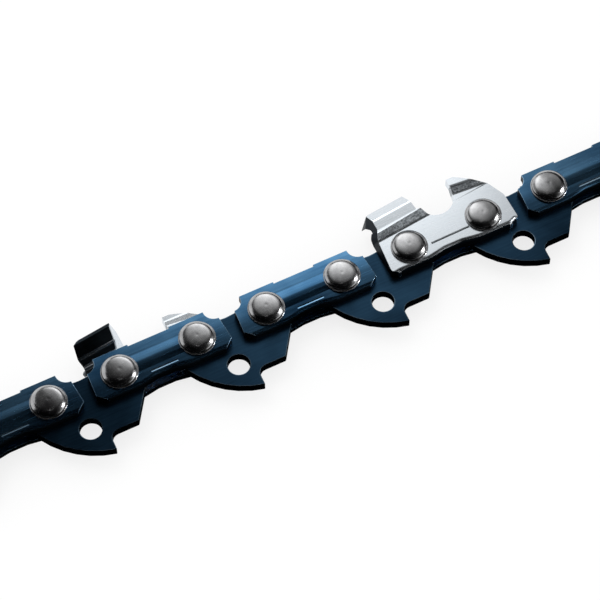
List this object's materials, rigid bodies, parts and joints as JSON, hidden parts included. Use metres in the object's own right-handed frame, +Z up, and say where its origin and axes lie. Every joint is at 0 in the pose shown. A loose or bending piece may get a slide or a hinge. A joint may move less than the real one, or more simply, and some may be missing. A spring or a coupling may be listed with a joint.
{
  "type": "saw chain loop",
  "caption": "Closed loop of riveted low-profile saw chain lying on its side: drive links with hooked tangs, ribbed tie straps and left and right chamfered cutters with depth gauges.",
  "frame": {"origin": "middle of the loop, on the surface that it lies on", "axes": "+X along the straight runs, the way the pictured run travels; +Y from the middle towards that run; +Z up, along the rivets"},
  "size_m": [0.2138, 0.1206, 0.0059],
  "materials": {
    "blued_strap_steel": "glossy blued steel",
    "dark_drive_link_steel": "dark satin blued steel",
    "chrome_cutter": "satin hard chrome"
  },
  "bodies": {
    "tie_straps_01": {"tie_straps_01": "blued_strap_steel"},
    "drive_link_01": {"drive_link_01": "dark_drive_link_steel"},
    "right_cutter_01": {"right_cutter_01": "chrome_cutter"},
    "drive_link_02": {"drive_link_02": "dark_drive_link_steel"},
    "tie_straps_02": {"tie_straps_02": "blued_strap_steel"},
    "drive_link_03": {"drive_link_03": "dark_drive_link_steel"},
    "left_cutter_01": {"left_cutter_01": "chrome_cutter"},
    "drive_link_04": {"drive_link_04": "dark_drive_link_steel"},
    "tie_straps_03": {"tie_straps_03": "blued_strap_steel"},
    "drive_link_05": {"drive_link_05": "dark_drive_link_steel"},
    "right_cutter_02": {"right_cutter_02": "chrome_cutter"},
    "drive_link_06": {"drive_link_06": "dark_drive_link_steel"},
    "tie_straps_04": {"tie_straps_04": "blued_strap_steel"},
    "drive_link_07": {"drive_link_07": "dark_drive_link_steel"},
    "left_cutter_02": {"left_cutter_02": "chrome_cutter"},
    "drive_link_08": {"drive_link_08": "dark_drive_link_steel"},
    "tie_straps_05": {"tie_straps_05": "blued_strap_steel"},
    "drive_link_09": {"drive_link_09": "dark_drive_link_steel"},
    "right_cutter_03": {"right_cutter_03": "chrome_cutter"},
    "drive_link_10": {"drive_link_10": "dark_drive_link_steel"},
    "tie_straps_06": {"tie_straps_06": "blued_strap_steel"},
    "drive_link_11": {"drive_link_11": "dark_drive_link_steel"},
    "left_cutter_03": {"left_cutter_03": "chrome_cutter"},
    "drive_link_12": {"drive_link_12": "dark_drive_link_steel"},
    "tie_straps_07": {"tie_straps_07": "blued_strap_steel"},
    "drive_link_13": {"drive_link_13": "dark_drive_link_steel"},
    "right_cutter_04": {"right_cutter_04": "chrome_cutter"},
    "drive_link_14": {"drive_link_14": "dark_drive_link_steel"},
    "tie_straps_08": {"tie_straps_08": "blued_strap_steel"},
    "drive_link_15": {"drive_link_15": "dark_drive_link_steel"},
    "left_cutter_04": {"left_cutter_04": "chrome_cutter"},
    "drive_link_16": {"drive_link_16": "dark_drive_link_steel"},
    "tie_straps_09": {"tie_straps_09": "blued_strap_steel"},
    "drive_link_17": {"drive_link_17": "dark_drive_link_steel"},
    "right_cutter_05": {"right_cutter_05": "chrome_cutter"},
    "drive_link_18": {"drive_link_18": "dark_drive_link_steel"},
    "tie_straps_10": {"tie_straps_10": "blued_strap_steel"},
    "drive_link_19": {"drive_link_19": "dark_drive_link_steel"},
    "left_cutter_05": {"left_cutter_05": "chrome_cutter"},
    "drive_link_20": {"drive_link_20": "dark_drive_link_steel"},
    "tie_straps_11": {"tie_straps_11": "blued_strap_steel"},
    "drive_link_21": {"drive_link_21": "dark_drive_link_steel"},
    "right_cutter_06": {"right_cutter_06": "chrome_cutter"},
    "drive_link_22": {"drive_link_22": "dark_drive_link_steel"},
    "tie_straps_12": {"tie_straps_12": "blued_strap_steel"},
    "drive_link_23": {"drive_link_23": "dark_drive_link_steel"},
    "left_cutter_06": {"left_cutter_06": "chrome_cutter"},
    "drive_link_24": {"drive_link_24": "dark_drive_link_steel"},
    "tie_straps_13": {"tie_straps_13": "blued_strap_steel"},
    "drive_link_25": {"drive_link_25": "dark_drive_link_steel"},
    "right_cutter_07": {"right_cutter_07": "chrome_cutter"},
    "drive_link_26": {"drive_link_26": "dark_drive_link_steel"},
    "tie_straps_14": {"tie_straps_14": "blued_strap_steel"},
    "drive_link_27": {"drive_link_27": "dark_drive_link_steel"},
    "left_cutter_07": {"left_cutter_07": "chrome_cutter"},
    "drive_link_28": {"drive_link_28": "dark_drive_link_steel"}
  },
  "joints": [
    {"name": "loop_fold", "type": "hinge", "parent": "tie_straps_01", "child": "drive_link_01", "pos_m": [0.0049, 0.05328, 0.00295], "axis": [0, 0, -1], "range_deg": [-3, 18]},
    {"name": "pivot_02", "type": "hinge", "parent": "drive_link_01", "child": "right_cutter_01", "pos_m": [0.01375, 0.05328, 0.00295], "axis": [0, 0, -1], "range_deg": [-3, 18]},
    {"name": "pivot_03", "type": "hinge", "parent": "right_cutter_01", "child": "drive_link_02", "pos_m": [0.02354, 0.05328, 0.00295], "axis": [0, 0, -1], "range_deg": [-3, 18]},
    {"name": "pivot_04", "type": "hinge", "parent": "drive_link_02", "child": "tie_straps_02", "pos_m": [0.03238, 0.05328, 0.00295], "axis": [0, 0, -1], "range_deg": [-3, 18]},
    {"name": "pivot_05", "type": "hinge", "parent": "tie_straps_02", "child": "drive_link_03", "pos_m": [0.04217, 0.05328, 0.00295], "axis": [0, 0, -1], "range_deg": [-3, 18]},
    {"name": "pivot_06", "type": "hinge", "parent": "drive_link_03", "child": "left_cutter_01", "pos_m": [0.05103, 0.05328, 0.00295], "axis": [0, 0, -1], "range_deg": [-10, 1.67]},
    {"name": "pivot_07", "type": "hinge", "parent": "left_cutter_01", "child": "drive_link_04", "pos_m": [0.06067, 0.05158, 0.00295], "axis": [0, 0, -1], "range_deg": [-10, 1.67]},
    {"name": "pivot_08", "type": "hinge", "parent": "drive_link_04", "child": "tie_straps_03", "pos_m": [0.06898, 0.04856, 0.00295], "axis": [0, 0, -1], "range_deg": [-10, 1.67]},
    {"name": "pivot_09", "type": "hinge", "parent": "tie_straps_03", "child": "drive_link_05", "pos_m": [0.07746, 0.04366, 0.00295], "axis": [0, 0, -1], "range_deg": [-10, 1.67]},
    {"name": "pivot_10", "type": "hinge", "parent": "drive_link_05", "child": "right_cutter_02", "pos_m": [0.08424, 0.03797, 0.00295], "axis": [0, 0, -1], "range_deg": [-10, 1.67]},
    {"name": "pivot_11", "type": "hinge", "parent": "right_cutter_02", "child": "drive_link_06", "pos_m": [0.09053, 0.03047, 0.00295], "axis": [0, 0, -1], "range_deg": [-10, 1.67]},
    {"name": "pivot_12", "type": "hinge", "parent": "drive_link_06", "child": "tie_straps_04", "pos_m": [0.09496, 0.02281, 0.00295], "axis": [0, 0, -1], "range_deg": [-10, 1.67]},
    {"name": "pivot_13", "type": "hinge", "parent": "tie_straps_04", "child": "drive_link_07", "pos_m": [0.09831, 0.01361, 0.00295], "axis": [0, 0, -1], "range_deg": [-10, 1.67]},
    {"name": "pivot_14", "type": "hinge", "parent": "drive_link_07", "child": "left_cutter_02", "pos_m": [0.09984, 0.0049, 0.00295], "axis": [0, 0, -1], "range_deg": [-10, 1.67]},
    {"name": "pivot_15", "type": "hinge", "parent": "left_cutter_02", "child": "drive_link_08", "pos_m": [0.09984, -0.0049, 0.00295], "axis": [0, 0, -1], "range_deg": [-10, 1.67]},
    {"name": "pivot_16", "type": "hinge", "parent": "drive_link_08", "child": "tie_straps_05", "pos_m": [0.09831, -0.01361, 0.00295], "axis": [0, 0, -1], "range_deg": [-10, 1.67]},
    {"name": "pivot_17", "type": "hinge", "parent": "tie_straps_05", "child": "drive_link_09", "pos_m": [0.09496, -0.02281, 0.00295], "axis": [0, 0, -1], "range_deg": [-10, 1.67]},
    {"name": "pivot_18", "type": "hinge", "parent": "drive_link_09", "child": "right_cutter_03", "pos_m": [0.09053, -0.03047, 0.00295], "axis": [0, 0, -1], "range_deg": [-10, 1.67]},
    {"name": "pivot_19", "type": "hinge", "parent": "right_cutter_03", "child": "drive_link_10", "pos_m": [0.08424, -0.03797, 0.00295], "axis": [0, 0, -1], "range_deg": [-10, 1.67]},
    {"name": "pivot_20", "type": "hinge", "parent": "drive_link_10", "child": "tie_straps_06", "pos_m": [0.07746, -0.04366, 0.00295], "axis": [0, 0, -1], "range_deg": [-10, 1.67]},
    {"name": "pivot_21", "type": "hinge", "parent": "tie_straps_06", "child": "drive_link_11", "pos_m": [0.06898, -0.04856, 0.00295], "axis": [0, 0, -1], "range_deg": [-10, 1.67]},
    {"name": "pivot_22", "type": "hinge", "parent": "drive_link_11", "child": "left_cutter_03", "pos_m": [0.06067, -0.05158, 0.00295], "axis": [0, 0, -1], "range_deg": [-10, 1.67]},
    {"name": "pivot_23", "type": "hinge", "parent": "left_cutter_03", "child": "drive_link_12", "pos_m": [0.05103, -0.05328, 0.00295], "axis": [0, 0, -1], "range_deg": [-10, 1.67]},
    {"name": "pivot_24", "type": "hinge", "parent": "drive_link_12", "child": "tie_straps_07", "pos_m": [0.04217, -0.05328, 0.00295], "axis": [0, 0, -1], "range_deg": [-3, 18]},
    {"name": "pivot_25", "type": "hinge", "parent": "tie_straps_07", "child": "drive_link_13", "pos_m": [0.03238, -0.05328, 0.00295], "axis": [0, 0, -1], "range_deg": [-3, 18]},
    {"name": "pivot_26", "type": "hinge", "parent": "drive_link_13", "child": "right_cutter_04", "pos_m": [0.02354, -0.05328, 0.00295], "axis": [0, 0, -1], "range_deg": [-3, 18]},
    {"name": "pivot_27", "type": "hinge", "parent": "right_cutter_04", "child": "drive_link_14", "pos_m": [0.01375, -0.05328, 0.00295], "axis": [0, 0, -1], "range_deg": [-3, 18]},
    {"name": "pivot_28", "type": "hinge", "parent": "drive_link_14", "child": "tie_straps_08", "pos_m": [0.0049, -0.05328, 0.00295], "axis": [0, 0, -1], "range_deg": [-3, 18]},
    {"name": "pivot_56", "type": "hinge", "parent": "tie_straps_01", "child": "drive_link_28", "pos_m": [-0.0049, 0.05328, 0.00295], "axis": [0, 0, 1], "range_deg": [-3, 18]},
    {"name": "pivot_55", "type": "hinge", "parent": "drive_link_28", "child": "left_cutter_07", "pos_m": [-0.01375, 0.05328, 0.00295], "axis": [0, 0, 1], "range_deg": [-3, 18]},
    {"name": "pivot_54", "type": "hinge", "parent": "left_cutter_07", "child": "drive_link_27", "pos_m": [-0.02354, 0.05328, 0.00295], "axis": [0, 0, 1], "range_deg": [-3, 18]},
    {"name": "pivot_53", "type": "hinge", "parent": "drive_link_27", "child": "tie_straps_14", "pos_m": [-0.03238, 0.05328, 0.00295], "axis": [0, 0, 1], "range_deg": [-3, 18]},
    {"name": "pivot_52", "type": "hinge", "parent": "tie_straps_14", "child": "drive_link_26", "pos_m": [-0.04217, 0.05328, 0.00295], "axis": [0, 0, 1], "range_deg": [-3, 18]},
    {"name": "pivot_51", "type": "hinge", "parent": "drive_link_26", "child": "right_cutter_07", "pos_m": [-0.05103, 0.05328, 0.00295], "axis": [0, 0, 1], "range_deg": [-10, 1.67]},
    {"name": "pivot_50", "type": "hinge", "parent": "right_cutter_07", "child": "drive_link_25", "pos_m": [-0.06067, 0.05158, 0.00295], "axis": [0, 0, 1], "range_deg": [-10, 1.67]},
    {"name": "pivot_49", "type": "hinge", "parent": "drive_link_25", "child": "tie_straps_13", "pos_m": [-0.06898, 0.04856, 0.00295], "axis": [0, 0, 1], "range_deg": [-10, 1.67]},
    {"name": "pivot_48", "type": "hinge", "parent": "tie_straps_13", "child": "drive_link_24", "pos_m": [-0.07746, 0.04366, 0.00295], "axis": [0, 0, 1], "range_deg": [-10, 1.67]},
    {"name": "pivot_47", "type": "hinge", "parent": "drive_link_24", "child": "left_cutter_06", "pos_m": [-0.08424, 0.03797, 0.00295], "axis": [0, 0, 1], "range_deg": [-10, 1.67]},
    {"name": "pivot_46", "type": "hinge", "parent": "left_cutter_06", "child": "drive_link_23", "pos_m": [-0.09053, 0.03047, 0.00295], "axis": [0, 0, 1], "range_deg": [-10, 1.67]},
    {"name": "pivot_45", "type": "hinge", "parent": "drive_link_23", "child": "tie_straps_12", "pos_m": [-0.09496, 0.02281, 0.00295], "axis": [0, 0, 1], "range_deg": [-10, 1.67]},
    {"name": "pivot_44", "type": "hinge", "parent": "tie_straps_12", "child": "drive_link_22", "pos_m": [-0.09831, 0.01361, 0.00295], "axis": [0, 0, 1], "range_deg": [-10, 1.67]},
    {"name": "pivot_43", "type": "hinge", "parent": "drive_link_22", "child": "right_cutter_06", "pos_m": [-0.09984, 0.0049, 0.00295], "axis": [0, 0, 1], "range_deg": [-10, 1.67]},
    {"name": "pivot_42", "type": "hinge", "parent": "right_cutter_06", "child": "drive_link_21", "pos_m": [-0.09984, -0.0049, 0.00295], "axis": [0, 0, 1], "range_deg": [-10, 1.67]},
    {"name": "pivot_41", "type": "hinge", "parent": "drive_link_21", "child": "tie_straps_11", "pos_m": [-0.09831, -0.01361, 0.00295], "axis": [0, 0, 1], "range_deg": [-10, 1.67]},
    {"name": "pivot_40", "type": "hinge", "parent": "tie_straps_11", "child": "drive_link_20", "pos_m": [-0.09496, -0.02281, 0.00295], "axis": [0, 0, 1], "range_deg": [-10, 1.67]},
    {"name": "pivot_39", "type": "hinge", "parent": "drive_link_20", "child": "left_cutter_05", "pos_m": [-0.09053, -0.03047, 0.00295], "axis": [0, 0, 1], "range_deg": [-10, 1.67]},
    {"name": "pivot_38", "type": "hinge", "parent": "left_cutter_05", "child": "drive_link_19", "pos_m": [-0.08424, -0.03797, 0.00295], "axis": [0, 0, 1], "range_deg": [-10, 1.67]},
    {"name": "pivot_37", "type": "hinge", "parent": "drive_link_19", "child": "tie_straps_10", "pos_m": [-0.07746, -0.04366, 0.00295], "axis": [0, 0, 1], "range_deg": [-10, 1.67]},
    {"name": "pivot_36", "type": "hinge", "parent": "tie_straps_10", "child": "drive_link_18", "pos_m": [-0.06898, -0.04856, 0.00295], "axis": [0, 0, 1], "range_deg": [-10, 1.67]},
    {"name": "pivot_35", "type": "hinge", "parent": "drive_link_18", "child": "right_cutter_05", "pos_m": [-0.06067, -0.05158, 0.00295], "axis": [0, 0, 1], "range_deg": [-10, 1.67]},
    {"name": "pivot_34", "type": "hinge", "parent": "right_cutter_05", "child": "drive_link_17", "pos_m": [-0.05103, -0.05328, 0.00295], "axis": [0, 0, 1], "range_deg": [-10, 1.67]},
    {"name": "pivot_33", "type": "hinge", "parent": "drive_link_17", "child": "tie_straps_09", "pos_m": [-0.04217, -0.05328, 0.00295], "axis": [0, 0, 1], "range_deg": [-3, 18]},
    {"name": "pivot_32", "type": "hinge", "parent": "tie_straps_09", "child": "drive_link_16", "pos_m": [-0.03238, -0.05328, 0.00295], "axis": [0, 0, 1], "range_deg": [-3, 18]},
    {"name": "pivot_31", "type": "hinge", "parent": "drive_link_16", "child": "left_cutter_04", "pos_m": [-0.02354, -0.05328, 0.00295], "axis": [0, 0, 1], "range_deg": [-3, 18]},
    {"name": "pivot_30", "type": "hinge", "parent": "left_cutter_04", "child": "drive_link_15", "pos_m": [-0.01375, -0.05328, 0.00295], "axis": [0, 0, 1], "range_deg": [-3, 18]}
  ],
  "couplings": [
    {"joint": "pivot_02", "follows": "loop_fold", "ratio": 1},
    {"joint": "pivot_03", "follows": "loop_fold", "ratio": 1},
    {"joint": "pivot_04", "follows": "loop_fold", "ratio": 1},
    {"joint": "pivot_05", "follows": "loop_fold", "ratio": 1},
    {"joint": "pivot_06", "follows": "loop_fold", "ratio": -0.55556},
    {"joint": "pivot_07", "follows": "loop_fold", "ratio": -0.55556},
    {"joint": "pivot_08", "follows": "loop_fold", "ratio": -0.55556},
    {"joint": "pivot_09", "follows": "loop_fold", "ratio": -0.55556},
    {"joint": "pivot_10", "follows": "loop_fold", "ratio": -0.55556},
    {"joint": "pivot_11", "follows": "loop_fold", "ratio": -0.55556},
    {"joint": "pivot_12", "follows": "loop_fold", "ratio": -0.55556},
    {"joint": "pivot_13", "follows": "loop_fold", "ratio": -0.55556},
    {"joint": "pivot_14", "follows": "loop_fold", "ratio": -0.55556},
    {"joint": "pivot_15", "follows": "loop_fold", "ratio": -0.55556},
    {"joint": "pivot_16", "follows": "loop_fold", "ratio": -0.55556},
    {"joint": "pivot_17", "follows": "loop_fold", "ratio": -0.55556},
    {"joint": "pivot_18", "follows": "loop_fold", "ratio": -0.55556},
    {"joint": "pivot_19", "follows": "loop_fold", "ratio": -0.55556},
    {"joint": "pivot_20", "follows": "loop_fold", "ratio": -0.55556},
    {"joint": "pivot_21", "follows": "loop_fold", "ratio": -0.55556},
    {"joint": "pivot_22", "follows": "loop_fold", "ratio": -0.55556},
    {"joint": "pivot_23", "follows": "loop_fold", "ratio": -0.55556},
    {"joint": "pivot_24", "follows": "loop_fold", "ratio": 1},
    {"joint": "pivot_25", "follows": "loop_fold", "ratio": 1},
    {"joint": "pivot_26", "follows": "loop_fold", "ratio": 1},
    {"joint": "pivot_27", "follows": "loop_fold", "ratio": 1},
    {"joint": "pivot_28", "follows": "loop_fold", "ratio": 1},
    {"joint": "pivot_56", "follows": "loop_fold", "ratio": 1},
    {"joint": "pivot_55", "follows": "loop_fold", "ratio": 1},
    {"joint": "pivot_54", "follows": "loop_fold", "ratio": 1},
    {"joint": "pivot_53", "follows": "loop_fold", "ratio": 1},
    {"joint": "pivot_52", "follows": "loop_fold", "ratio": 1},
    {"joint": "pivot_51", "follows": "loop_fold", "ratio": -0.55556},
    {"joint": "pivot_50", "follows": "loop_fold", "ratio": -0.55556},
    {"joint": "pivot_49", "follows": "loop_fold", "ratio": -0.55556},
    {"joint": "pivot_48", "follows": "loop_fold", "ratio": -0.55556},
    {"joint": "pivot_47", "follows": "loop_fold", "ratio": -0.55556},
    {"joint": "pivot_46", "follows": "loop_fold", "ratio": -0.55556},
    {"joint": "pivot_45", "follows": "loop_fold", "ratio": -0.55556},
    {"joint": "pivot_44", "follows": "loop_fold", "ratio": -0.55556},
    {"joint": "pivot_43", "follows": "loop_fold", "ratio": -0.55556},
    {"joint": "pivot_42", "follows": "loop_fold", "ratio": -0.55556},
    {"joint": "pivot_41", "follows": "loop_fold", "ratio": -0.55556},
    {"joint": "pivot_40", "follows": "loop_fold", "ratio": -0.55556},
    {"joint": "pivot_39", "follows": "loop_fold", "ratio": -0.55556},
    {"joint": "pivot_38", "follows": "loop_fold", "ratio": -0.55556},
    {"joint": "pivot_37", "follows": "loop_fold", "ratio": -0.55556},
    {"joint": "pivot_36", "follows": "loop_fold", "ratio": -0.55556},
    {"joint": "pivot_35", "follows": "loop_fold", "ratio": -0.55556},
    {"joint": "pivot_34", "follows": "loop_fold", "ratio": -0.55556},
    {"joint": "pivot_33", "follows": "loop_fold", "ratio": 1},
    {"joint": "pivot_32", "follows": "loop_fold", "ratio": 1},
    {"joint": "pivot_31", "follows": "loop_fold", "ratio": 1},
    {"joint": "pivot_30", "follows": "loop_fold", "ratio": 1}
  ]
}
